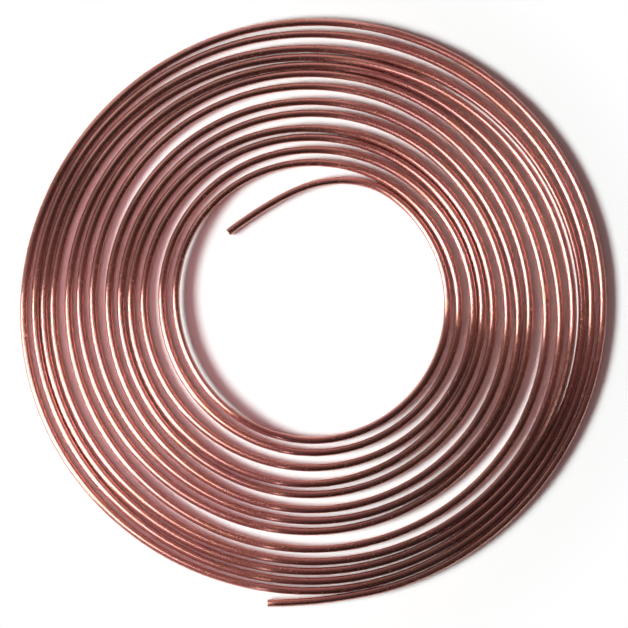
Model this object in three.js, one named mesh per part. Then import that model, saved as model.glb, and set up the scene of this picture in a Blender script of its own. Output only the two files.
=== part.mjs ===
// Soft copper tube wound by hand into a flat, open spiral coil that lies on the floor.
// Millimetres, +Z up, origin on the floor under the middle of the coil.
// Headings are compass-like: 0 degrees is +Y and they grow clockwise as seen from above.
import * as THREE from 'three';

// The tube
const tubeDiameter = 6.35;
const wallThickness = 0.762;

// The winding, followed from the inner end outward, clockwise as seen from above
const innerEndHeading = 309;

// Centreline radius of the innermost turn, every 60 degrees from the inner end's heading
const innermostRadii = [112, 110.5, 110.5, 112.5, 115, 115];

// Clear gap between a turn and the turn inside it, every 60 degrees from the inner end's heading:
// one row for each turn, from the second turn out to the last, which ends before its row is full
const turnGaps = [
  [0.5, 0.5, 2.0, 4.5, 4.0, 5.5],
  [4.5, 4.5, 5.5, 6.0, 6.5, 9.5],
  [6.5, 3.5, 1.5, 2.0, 7.5, 5.0],
  [3.5, 1.0, 1.5, 4.0, 2.5, 2.0],
  [3.0, 6.5, 5.0, 7.0, 6.0, 4.0],
  [4.0, 3.5, 2.5, 4.5, 3.0, 6.0],
  [7.5, 6.0, 4.5, 0.5, 3.0, 4.5],
  [4.0, 4.5, 6.0, 9.5, 8.0, 4.5],
  [1.5, 0.5, 4.5, 6.0, 4.0, 6.5],
  [4.0, 0.5, 5.5, 0.5, 2.0, 2.0],
  [1.0, 1.0, 2.0, 0.5, 2.0, 1.0],
  [2.0, 6.0, 3.0, 0.5, 2.0, 4.0],
  [1.0, 4.0, 4.0, 1.0, 0.5],
];

// The free inner end is bent in from the innermost turn and eases back onto it
const innerTailBend = 21.5;
const innerTailBendStart = 18;
const innerTailBendEnd = 86;

// Both free ends run on nearly straight, so each tip stands off outward from its curve
const tailFlareSpan = 15;
const innerTailFlare = 3;
const outerTailFlare = 5.5;

// Where the tube springs up off the floor, in degrees of travel from the inner end: the left side
// of the innermost turn, and the right side of the fourth turn counted from the outside
const springLifts = [
  { middle: 310, span: 150, height: 3.5 },
  { middle: 3720, span: 130, height: 4.5 },
];

// Mesh fineness: sides of the round section, and steps along one turn
const sectionSides = 8;
const stepsPerTurn = 27;

const UP = new THREE.Vector3(0, 0, 1);

const copper = new THREE.MeshStandardMaterial({ color: 0xbf6f55, roughness: 0.2, metalness: 1 });

// Centreline radius of the wound spiral at each entry: each turn is laid round the one inside it
const woundRadii = [...innermostRadii];
for (const gap of turnGaps.flat()) {
  woundRadii.push(woundRadii[woundRadii.length - innermostRadii.length] + tubeDiameter + gap);
}
const turns = (woundRadii.length - 1) / innermostRadii.length;

// The radius plotted against the travel in turns, as one smooth curve through the entries
const winding = new THREE.SplineCurve(
  woundRadii.map((radius, entry) => new THREE.Vector2(entry / innermostRadii.length, radius)),
);

function innerTailOffset(degrees) {
  return innerTailBend * (1 - THREE.MathUtils.smoothstep(degrees, innerTailBendStart, innerTailBendEnd));
}

function tailFlare(flare, degreesToTip) {
  return flare * (Math.max(tailFlareSpan - degreesToTip, 0) / tailFlareSpan) ** 2;
}

// Radius of the centreline after a share (0 to 1) of the whole travel
function centrelineRadius(share) {
  const degrees = share * turns * 360;
  const bentIn = winding.getPoint(share).y - innerTailOffset(degrees);
  return bentIn + tailFlare(innerTailFlare, degrees) + tailFlare(outerTailFlare, turns * 360 - degrees);
}

// Each lift is level over the middle half of its span and eases down to the floor at its ends
function liftOffFloor(degrees) {
  let lift = 0;
  for (const { middle, span, height } of springLifts) {
    const fromMiddle = Math.abs(degrees - middle) / (span / 2);
    lift += height * (1 - THREE.MathUtils.smoothstep(fromMiddle, 0.5, 1));
  }
  return lift;
}

// The tube's centreline. Its steps are equal in angle, so the facets of neighbouring turns line up.
class CoilPath extends THREE.Curve {
  getUtoTmapping(u) {
    return u;
  }

  getPoint(t) {
    const degrees = t * turns * 360;
    const radius = centrelineRadius(t);
    const heading = THREE.MathUtils.degToRad(innerEndHeading + degrees);
    return new THREE.Vector3(
      radius * Math.sin(heading),
      radius * Math.cos(heading),
      liftOffFloor(degrees),
    );
  }

  // The section keeps upright all the way, so the tube lies on one of its flat sides
  computeFrenetFrames(segments) {
    const frames = { tangents: [], normals: [], binormals: [] };
    for (let step = 0; step <= segments; step += 1) {
      const tangent = this.getTangentAt(step / segments);
      const sideways = new THREE.Vector3().crossVectors(tangent, UP).normalize();
      frames.tangents.push(tangent);
      frames.normals.push(new THREE.Vector3().crossVectors(sideways, tangent));
      frames.binormals.push(sideways);
    }
    return frames;
  }
}

// A regular polygon that stands on a flat side, given its size across the flats
function roundOutline(acrossFlats, outline) {
  const cornerRadius = acrossFlats / 2 / Math.cos(Math.PI / sectionSides);
  const corners = Array.from({ length: sectionSides }, (_, side) => {
    const angle = ((side + 0.5) * 2 * Math.PI) / sectionSides;
    return new THREE.Vector2(cornerRadius * Math.cos(angle), cornerRadius * Math.sin(angle));
  });
  return outline.setFromPoints(corners);
}

// The tube: one length with its bore open from end to end, both ends cut square
function makeCopperTube() {
  const section = roundOutline(tubeDiameter, new THREE.Shape());
  section.holes.push(roundOutline(tubeDiameter - 2 * wallThickness, new THREE.Path()));
  const geometry = new THREE.ExtrudeGeometry(section, {
    steps: Math.round(turns * stepsPerTurn),
    bevelEnabled: false,
    extrudePath: new CoilPath(),
  });
  geometry.computeBoundingBox();
  const middle = geometry.boundingBox.getCenter(new THREE.Vector3());
  geometry.translate(-middle.x, -middle.y, -geometry.boundingBox.min.z);
  const tube = new THREE.Mesh(geometry, copper);
  tube.name = 'copper_tube';
  return tube;
}

const coil = new THREE.Group();
coil.add(makeCopperTube());

export default coil;
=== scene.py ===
"""Looks of a flat, open coil of bright soft copper tube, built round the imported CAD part.

Metres and degrees, +Z up, in the part's own frame. Headings are compass-like: 0 is +Y, growing clockwise.
"""
import math

import bpy
import numpy as np
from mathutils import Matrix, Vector


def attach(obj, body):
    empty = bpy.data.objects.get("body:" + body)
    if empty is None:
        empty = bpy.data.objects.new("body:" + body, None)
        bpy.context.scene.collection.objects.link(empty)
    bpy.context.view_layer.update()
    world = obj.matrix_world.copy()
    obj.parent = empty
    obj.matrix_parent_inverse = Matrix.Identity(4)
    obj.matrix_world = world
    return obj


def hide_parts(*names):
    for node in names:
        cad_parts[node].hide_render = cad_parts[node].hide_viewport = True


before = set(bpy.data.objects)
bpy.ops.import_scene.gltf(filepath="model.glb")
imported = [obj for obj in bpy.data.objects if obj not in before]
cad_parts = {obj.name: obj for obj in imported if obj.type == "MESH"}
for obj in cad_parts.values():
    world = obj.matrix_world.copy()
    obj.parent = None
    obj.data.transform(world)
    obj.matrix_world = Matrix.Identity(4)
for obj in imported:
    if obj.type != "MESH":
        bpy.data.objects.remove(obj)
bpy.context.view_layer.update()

MM = 0.001

# The tube, as the part's own source has it
TUBE_RADIUS = 3.175 * MM
BORE_RADIUS = 2.413 * MM

# Fineness of the skin: its sides, and its steps from one CAD section to the next. The outside has a ring at
# each step, and the bore at every second one.
SIDES = 20
STEPS_PER_SECTION = 8
STEPS_PER_BORE_RING = 2

# How a tube cutter leaves the ends: the outside rolled in a little, and the mouth of the bore eased. Each
# profile has the shares of its length, measured in from the end face, and of its depth.
ROLLED_LENGTH = 0.45 * MM
ROLLED_DEPTH = 0.13 * MM
ROLLED_PROFILE = ((1.0, 0.0), (0.5, 0.25), (0.2, 0.6), (0.0, 1.0))
MOUTH_LENGTH = 0.3 * MM
MOUTH_DEPTH = 0.1 * MM
MOUTH_PROFILE = ((0.0, 1.0), (0.35, 0.4), (1.0, 0.0))

# The CAD mesh's points are rounded to a micrometre, so that doubled ones become one
POINT_DECIMALS = 6

# The tube's finish, as noise on the tube pulled straight. Each pattern has its fineness along the tube
# against across it, which draws it out into streaks where it is under 1, then its scale, detail and
# roughness.
PATTERNS = {
    "blush": (1.0, 9.0, 2.0, 0.5),
    "tarnish": (0.30, 110.0, 4.0, 0.6),
    "scuffs": (0.35, 420.0, 5.0, 0.65),
    "die lines": (0.004, 2600.0, 3.0, 0.6),
    "broad lines": (0.012, 700.0, 2.0, 0.5),
}

# The clean metal's colour, and the patterns that lie over it in turn. Each has the noise levels where it
# starts and where it is full, its strength there, and its colour.
CLEAN_COPPER = (0.73, 0.37, 0.30, 1)
COLOUR_LAYERS = {
    "blush": (0.35, 0.65, 1.0, (0.71, 0.345, 0.32, 1)),
    "tarnish": (0.50, 0.72, 1.0, (0.61, 0.29, 0.21, 1)),
    "scuffs": (0.56, 0.70, 0.45, (0.80, 0.47, 0.40, 1)),
    "die lines": (0.40, 0.66, 0.5, (0.61, 0.285, 0.235, 1)),
}

# The clean metal's roughness, and how much each pattern adds from where it starts to where it is full
CLEAN_ROUGHNESS = 0.17
ROUGH_LAYERS = {
    "die lines": (0.35, 0.65, 0.08),
    "scuffs": (0.55, 0.72, 0.06),
    "tarnish": (0.50, 0.72, 0.05),
}

# The relief of the lines: the share of each pattern in it, its depth, and how strongly it shows
RELIEF = {"die lines": 0.5, "broad lines": 0.9}
RELIEF_DEPTH = 0.04 * MM
RELIEF_STRENGTH = 0.45

# A shader counts its rotation in whole turns
QUARTER_TURN = 0.25

# The photograph's frame: its size and scale, and where the middle of the coil's box falls in it
PHOTO_SIDE_PX = 628
MM_PER_PX = 0.837
COIL_MIDDLE_PX = (312.7, 312.66)

# The camera looks down from so high that the tube hardly shows perspective
CAMERA_HEIGHT = 3.2
SENSOR_WIDTH = 36.0

# The lamps, each as (heading, elevation, distance, size, power). The first two light the paper alone, and
# the others are only mirrored in the copper. The cards are pale boards near the coil.
PAPER_LAMP = (259.0, 30.0, 5.0, (3.0, 1.25), 87.0)
PAPER_GLOW = (266.0, 44.0, 0.58, (0.3, 0.42), 0.86)
WINDOW = (250.5, 35.0, 4.0, (2.85, 1.0), 35.0)
SOFTBOX = (235.0, 61.0, 0.8, (0.28, 0.52), 2.2)
NARROW_LAMP = (190.5, 24.0, 0.45, (0.012, 0.15), 0.015)
CARD = (338.0, 21.4, 0.494, (0.62, 0.36), 0.33)
LEFT_CARD = (294.0, 25.0, 0.5, (0.45, 0.34), 0.13)

# How far beyond the coil's middle the large lamps are aimed, to even out their fall-off, and how wide their
# beams spread
FEATHER_AIM = 3.0
FEATHER_SPREAD = 64.0

# The glow is copper's own warm light in the shadows, and the lamp is cool, so that lit paper stays neutral
PAPER_LAMP_COLOUR = (0.87, 1.0, 0.985)
PAPER_GLOW_COLOUR = (1.0, 0.42, 0.47)

# The room that the copper mirrors: its own light, and the parts that stand out from it. Each part has its
# heading and half width, the elevation it reaches up to, and the light it adds or takes away.
ROOM_LIGHT = (0.155, 0.087, 0.088)
ROOM_PARTS = {
    "pale wall": (28.0, 35.0, 85.0, (0.14, 0.078, 0.08)),
    "doorway": (208.0, 16.0, 85.0, (0.21, 0.118, 0.12)),
    "dark curtain": (146.0, 40.0, 88.0, (-0.141, -0.065, -0.069)),
    "dark shelves": (318.0, 28.0, 89.0, (-0.072, -0.016, -0.018)),
}

# Degrees over which a part of the room fades out: to each side of its edges, and down from its top
SIDE_FADE = 12.0
TOP_FADE = 20.0

FLOOR_SIDE = 12.0
WHITE = (1, 1, 1, 1)

# Where the paper starts to blend into the white background, out from the coil, and where it is all white
BLEND_START = 0.254
BLEND_END = 0.33


# ---------------------------------------------------------------- helpers

def heading_vector(heading, elevation=0.0):
    """Unit vector that points along a compass heading, raised by an elevation, both in degrees."""
    h = math.radians(heading)
    e = math.radians(elevation)
    return Vector((math.sin(h) * math.cos(e), math.cos(h) * math.cos(e), math.sin(e)))


def unit(vectors):
    """Each row scaled to length 1."""
    return vectors / np.linalg.norm(vectors, axis=-1, keepdims=True)


class Nodes:
    """A node tree written as expressions: each call adds a node and gives its output.

    An input goes by its socket's name, with _ for a space, or by its number, as i0 or i1.
    """

    def __init__(self, tree):
        self.tree = tree
        tree.nodes.clear()

    def add(self, kind, settings=None, **inputs):
        """Adds a node of any kind, and gives the node itself."""
        node = self.tree.nodes.new(kind)
        for name, value in (settings or {}).items():
            setattr(node, name, value)
        for name, value in inputs.items():
            self.put(node, name.replace("_", " "), value)
        return node

    def put(self, node, name, value):
        """Links an output to an input, or sets the input to a number, vector or colour."""
        key = int(name[1:]) if name[0] == "i" and name[1:].isdigit() else name
        socket = node.inputs[key]
        if isinstance(value, bpy.types.NodeSocket):
            self.tree.links.new(value, socket)
        else:
            socket.default_value = value

    def math(self, operation, a, b):
        return self.add("ShaderNodeMath", {"operation": operation}, i0=a, i1=b).outputs[0]

    def vector_math(self, operation, a, b):
        return self.add("ShaderNodeVectorMath", {"operation": operation}, i0=a, i1=b).outputs[0]

    def dot(self, a, b):
        node = self.add("ShaderNodeVectorMath", {"operation": "DOT_PRODUCT"}, i0=a, i1=b)
        return node.outputs["Value"]

    def fade_in(self, value, start, full, strength=1.0):
        """0 as far as the start, and from there smoothly up to the strength where the value is full."""
        settings = {"interpolation_type": "SMOOTHSTEP", "clamp": True}
        node = self.add("ShaderNodeMapRange", settings, Value=value)
        for name, number in (("From Min", start), ("From Max", full), ("To Min", 0.0), ("To Max", strength)):
            node.inputs[name].default_value = number
        return node.outputs[0]

    def noise(self, vector, scale, detail, roughness):
        node = self.add("ShaderNodeTexNoise", None, Vector=vector, Scale=scale, Detail=detail,
                        Roughness=roughness)
        return node.outputs[0]

    def mix(self, factor, a, b):
        node = self.add("ShaderNodeMix", {"data_type": "RGBA"}, i0=factor)
        self.put(node, "i6", a)
        self.put(node, "i7", b)
        return node.outputs[2]

    def mix_shaders(self, factor, a, b):
        return self.add("ShaderNodeMixShader", None, i0=factor, i1=a, i2=b).outputs[0]


# ---------------------------------------------------------------- the tube

def cad_triangles(node):
    """A CAD node's points, with doubled ones made one, and its triangles as rows of three of them."""
    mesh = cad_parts[node].data
    points = np.empty(len(mesh.vertices) * 3)
    mesh.vertices.foreach_get("co", points)
    corners = np.empty(len(mesh.polygons) * 3, dtype=int)
    mesh.polygons.foreach_get("vertices", corners)
    points = np.round(points.reshape(-1, 3), POINT_DECIMALS)
    points, merged = np.unique(points, axis=0, return_inverse=True)
    return points, merged.reshape(-1)[corners].reshape(-1, 3)


def section_centres(points, faces):
    """Centres of the CAD tube's sections in order from the inner end to the outer end.

    The end faces are the only ones with no long edge, and each section is one step of edges
    further from the inner end face than the one before it.
    """
    edges = np.concatenate([faces[:, [0, 1]], faces[:, [1, 2]], faces[:, [2, 0]]])
    lengths = np.linalg.norm(points[edges[:, 0]] - points[edges[:, 1]], axis=1).reshape(3, -1)
    end_points = np.unique(faces[lengths.max(axis=0) < TUBE_RADIUS * 2])
    reach = np.hypot(points[end_points, 0], points[end_points, 1])
    level = np.full(len(points), -1)
    level[end_points[reach < reach.mean()]] = 0
    for step in range(len(points)):
        near = level[edges] == step
        fresh = level[edges] < 0
        found = edges[:, ::-1][near & fresh[:, ::-1]]
        if not len(found):
            break
        level[found] = step + 1
    return np.array([points[level == step].mean(axis=0) for step in range(level.max() + 1)])


def smooth_path(centres):
    """A cubic curve through the centres, in finer steps, that never dips into the floor."""
    tangents = np.empty_like(centres)
    tangents[1:-1] = (centres[2:] - centres[:-2]) / 2
    tangents[0] = (-3 * centres[0] + 4 * centres[1] - centres[2]) / 2
    tangents[-1] = (3 * centres[-1] - 4 * centres[-2] + centres[-3]) / 2
    t = (np.arange(STEPS_PER_SECTION) / STEPS_PER_SECTION)[None, :, None]
    start, end = centres[:-1, None], centres[1:, None]
    leave, arrive = tangents[:-1, None], tangents[1:, None]
    points = (
        (2 * t**3 - 3 * t**2 + 1) * start
        + (t**3 - 2 * t**2 + t) * leave
        + (3 * t**2 - 2 * t**3) * end
        + (t**3 - t**2) * arrive
    )
    path = np.vstack([points.reshape(-1, 3), centres[-1:]])
    path[:, 2] = np.maximum(path[:, 2], TUBE_RADIUS)
    return path


def distances_along(path):
    """How far each point of the path is from its start, measured along it."""
    return np.concatenate([[0], np.cumsum(np.linalg.norm(np.diff(path, axis=0), axis=1))])


def skin_rings(along):
    """Rings of the closed skin, as rows of (place along the path, radius).

    They run out along the outside, round the outer end, back through the bore and round the inner end.
    """
    total = along[-1]
    lip = [(ROLLED_LENGTH * share, TUBE_RADIUS - depth * ROLLED_DEPTH) for share, depth in ROLLED_PROFILE]
    mouth = [(MOUTH_LENGTH * share, BORE_RADIUS + depth * MOUTH_DEPTH) for share, depth in MOUTH_PROFILE]
    outside = [(place, TUBE_RADIUS) for place in along[1:-1]]
    outer_end = [(total - inset, radius) for inset, radius in lip + mouth]
    bore = [(place, BORE_RADIUS) for place in along[:-1:STEPS_PER_BORE_RING][:0:-1]]
    return np.array(lip[::-1] + outside + outer_end + bore + mouth[::-1])


def at_places(places, along, vectors):
    """A path's vectors, such as its points or its directions, read off at other places along it."""
    return np.stack([np.interp(places, along, vectors[:, axis]) for axis in range(3)], axis=1)


def tube_quads(ring_count):
    """Faces of a skin whose last ring joins its first."""
    ring = np.arange(ring_count)[:, None]
    spoke = np.arange(SIDES)[None]
    next_ring = (ring + 1) % ring_count
    next_spoke = (spoke + 1) % SIDES
    return np.stack([
        ring * SIDES + spoke,
        ring * SIDES + next_spoke,
        next_ring * SIDES + next_spoke,
        next_ring * SIDES + spoke,
    ], axis=-1).reshape(-1, 4)


def make_tube():
    """One closed, hollow skin along the coil's path, with both cut ends.

    Its attribute straight_tube has each point's place on the same tube pulled straight along Z.
    """
    path = smooth_path(section_centres(*cad_triangles("copper_tube")))
    along = distances_along(path)
    places, radii = skin_rings(along).T
    centre = at_places(places, along, path)
    forward = unit(at_places(places, along, unit(np.gradient(path, along, axis=0))))
    side = unit(np.cross(forward, (0.0, 0.0, 1.0)))
    up = np.cross(side, forward)

    turn = np.arange(SIDES) * 2 * math.pi / SIDES
    across = np.cos(turn)[None, :, None] * side[:, None] + np.sin(turn)[None, :, None] * up[:, None]
    points = centre[:, None] + radii[:, None, None] * across
    straight = np.empty_like(points)
    straight[..., 0] = radii[:, None] * np.cos(turn)
    straight[..., 1] = radii[:, None] * np.sin(turn)
    straight[..., 2] = places[:, None]

    mesh = bpy.data.meshes.new("bright_copper_tube")
    mesh.from_pydata(points.reshape(-1, 3).tolist(), [], tube_quads(len(places)).tolist())
    attribute = mesh.attributes.new("straight_tube", "FLOAT_VECTOR", "POINT")
    attribute.data.foreach_set("vector", straight.reshape(-1))
    mesh.shade_smooth()
    mesh.update()
    tube = bpy.data.objects.new("bright_copper_tube", mesh)
    bpy.context.scene.collection.objects.link(tube)
    return tube


# ---------------------------------------------------------------- materials

def finish_patterns(n):
    """The output of each of PATTERNS, by its name."""
    straight = n.add("ShaderNodeAttribute", {"attribute_name": "straight_tube"}).outputs["Vector"]
    patterns = {}
    for name, (fineness, scale, detail, roughness) in PATTERNS.items():
        drawn_out = n.vector_math("MULTIPLY", straight, (1.0, 1.0, fineness))
        patterns[name] = n.noise(drawn_out, scale, detail, roughness)
    return patterns


def copper_material():
    """Bright drawn copper: the die's long lines, slow drifts of colour from handling and air, and scuffs."""
    material = bpy.data.materials.new("bright_drawn_copper")
    material.use_nodes = True
    n = Nodes(material.node_tree)
    patterns = finish_patterns(n)

    colour = CLEAN_COPPER
    for name, (start, full, strength, tint) in COLOUR_LAYERS.items():
        colour = n.mix(n.fade_in(patterns[name], start, full, strength), colour, tint)

    rough = CLEAN_ROUGHNESS
    for name, (start, full, added) in ROUGH_LAYERS.items():
        rough = n.math("ADD", rough, n.fade_in(patterns[name], start, full, added))

    height = 0.0
    for name, share in RELIEF.items():
        height = n.math("ADD", height, n.math("MULTIPLY", patterns[name], share))
    bump = n.add("ShaderNodeBump", None, Height=height, Strength=RELIEF_STRENGTH, Distance=RELIEF_DEPTH)

    # Drawn metal spreads a reflection across the tube and keeps it sharp along the tube. The tangent goes
    # round +Z, and so along the tube, and the spread is a quarter of a turn from it.
    tangent = n.add("ShaderNodeTangent", {"direction_type": "RADIAL", "axis": "Z"})
    shader = n.add("ShaderNodeBsdfPrincipled", None, Base_Color=colour, Metallic=1.0, Roughness=rough,
                   Anisotropic=1.0, Anisotropic_Rotation=QUARTER_TURN, Tangent=tangent.outputs[0],
                   Normal=bump.outputs[0])
    n.add("ShaderNodeOutputMaterial", None, Surface=shader.outputs[0])
    return material


def floor_material():
    """Matt white paper that keeps the coil's shadow, and blends into a plain white background.

    The background shows only where it is seen, straight or mirrored, and lights nothing matt.
    """
    material = bpy.data.materials.new("white_paper_floor")
    material.use_nodes = True
    n = Nodes(material.node_tree)
    look = n.add("ShaderNodeLightPath")
    seen = n.math("MAXIMUM", look.outputs["Is Camera Ray"], look.outputs["Is Glossy Ray"])
    seen = n.math("MAXIMUM", seen, look.outputs["Is Transmission Ray"])
    paper = n.add("ShaderNodeBsdfDiffuse", None, Color=WHITE)
    place = n.add("ShaderNodeNewGeometry").outputs["Position"]
    reach = n.add("ShaderNodeVectorMath", {"operation": "LENGTH"}, i0=place).outputs["Value"]
    blend = n.math("MULTIPLY", n.fade_in(reach, BLEND_START, BLEND_END), seen)
    background = n.add("ShaderNodeEmission", None, Color=WHITE, Strength=1.0)
    both = n.mix_shaders(blend, paper.outputs[0], background.outputs[0])
    n.add("ShaderNodeOutputMaterial", None, Surface=both)
    return material


# ---------------------------------------------------------------- studio

def room_part(n, bearing, rise, heading, half_width, top):
    """1 where a direction meets a part of the room, fading out to 0 at its sides and its top."""
    closeness = n.dot(bearing, tuple(heading_vector(heading)))
    outside = math.cos(math.radians(half_width + SIDE_FADE))
    inside = math.cos(math.radians(half_width - SIDE_FADE))
    above = math.sin(math.radians(top))
    below = math.sin(math.radians(top - TOP_FADE))
    return n.math("MULTIPLY", n.fade_in(closeness, outside, inside), n.fade_in(rise, above, below))


def studio_world():
    """The room that the copper mirrors, and plain white to the camera."""
    world = bpy.data.worlds.new("studio")
    world.use_nodes = True
    n = Nodes(world.node_tree)
    toward = n.add("ShaderNodeTexCoord").outputs["Generated"]
    rise = n.dot(toward, (0, 0, 1))
    level = n.vector_math("MULTIPLY", toward, (1, 1, 0))
    bearing = n.add("ShaderNodeVectorMath", {"operation": "NORMALIZE"}, i0=level).outputs[0]

    glow = ROOM_LIGHT
    for heading, half_width, top, light in ROOM_PARTS.values():
        part = room_part(n, bearing, rise, heading, half_width, top)
        glow = n.vector_math("ADD", glow, n.vector_math("MULTIPLY", part, light))

    room = n.add("ShaderNodeBackground", None, Color=glow, Strength=1.0)
    background = n.add("ShaderNodeBackground", None, Color=WHITE, Strength=1.0)
    camera_ray = n.add("ShaderNodeLightPath").outputs["Is Camera Ray"]
    both = n.mix_shaders(camera_ray, room.outputs[0], background.outputs[0])
    n.add("ShaderNodeOutputWorld", None, Surface=both)
    return world


def make_floor():
    """One flat sheet, so wide that its edge stays far from the coil in every view."""
    half = FLOOR_SIDE / 2
    mesh = bpy.data.meshes.new("floor")
    mesh.from_pydata([(-half, -half, 0), (half, -half, 0), (half, half, 0), (-half, half, 0)], [],
                     [(0, 1, 2, 3)])
    mesh.materials.append(floor_material())
    floor = bpy.data.objects.new("floor", mesh)
    bpy.context.scene.collection.objects.link(floor)


def aim(thing, target):
    """Points an object's -Z at a place, with its X level."""
    direction = Vector(target) - thing.location
    thing.rotation_euler = direction.to_track_quat("-Z", "Y").to_euler()


def area_lamp(name, heading, elevation, distance, size, power, paper_colour=None):
    """A rectangular lamp aimed at the coil's middle.

    With a colour it lights the matt paper alone. Without one it is white, and is only mirrored.
    """
    light = bpy.data.lights.new(name, "AREA")
    light.shape = "RECTANGLE"
    light.size, light.size_y = size
    light.energy = power
    if paper_colour:
        light.color = paper_colour
    lamp = bpy.data.objects.new(name, light)
    lamp.location = heading_vector(heading, elevation) * distance
    lamp.visible_camera = False
    lamp.visible_diffuse = bool(paper_colour)
    lamp.visible_glossy = not paper_colour
    bpy.context.scene.collection.objects.link(lamp)
    aim(lamp, (0, 0, 0))
    return lamp


def feather(lamp, heading):
    """Aims a lamp past the coil and narrows its beam, so that the coil's far side gets as much light."""
    aim(lamp, heading_vector(heading + 180) * FEATHER_AIM)
    lamp.data.spread = math.radians(FEATHER_SPREAD)


def make_camera():
    """Straight down, with the coil's middle where the photograph has it."""
    camera_data = bpy.data.cameras.new("camera")
    view_width = PHOTO_SIDE_PX * MM_PER_PX * MM
    camera_data.sensor_width = SENSOR_WIDTH
    camera_data.lens = SENSOR_WIDTH * CAMERA_HEIGHT / view_width
    camera = bpy.data.objects.new("camera", camera_data)
    half = PHOTO_SIDE_PX / 2
    camera.location = (
        (half - COIL_MIDDLE_PX[0]) * MM_PER_PX * MM,
        (COIL_MIDDLE_PX[1] - half) * MM_PER_PX * MM,
        CAMERA_HEIGHT,
    )
    bpy.context.scene.collection.objects.link(camera)
    bpy.context.scene.camera = camera


# ---------------------------------------------------------------- the scene

make_camera()

tube = make_tube()
tube.data.materials.append(copper_material())
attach(tube, "root")
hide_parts("copper_tube")

make_floor()
feather(area_lamp("paper_lamp", *PAPER_LAMP, PAPER_LAMP_COLOUR), PAPER_LAMP[0])
area_lamp("paper_glow", *PAPER_GLOW, PAPER_GLOW_COLOUR)
feather(area_lamp("window", *WINDOW), WINDOW[0])
area_lamp("softbox", *SOFTBOX)
area_lamp("narrow_lamp", *NARROW_LAMP)
area_lamp("card", *CARD)
area_lamp("left_card", *LEFT_CARD)

scene = bpy.context.scene
scene.world = studio_world()
scene.view_settings.view_transform = "Standard"
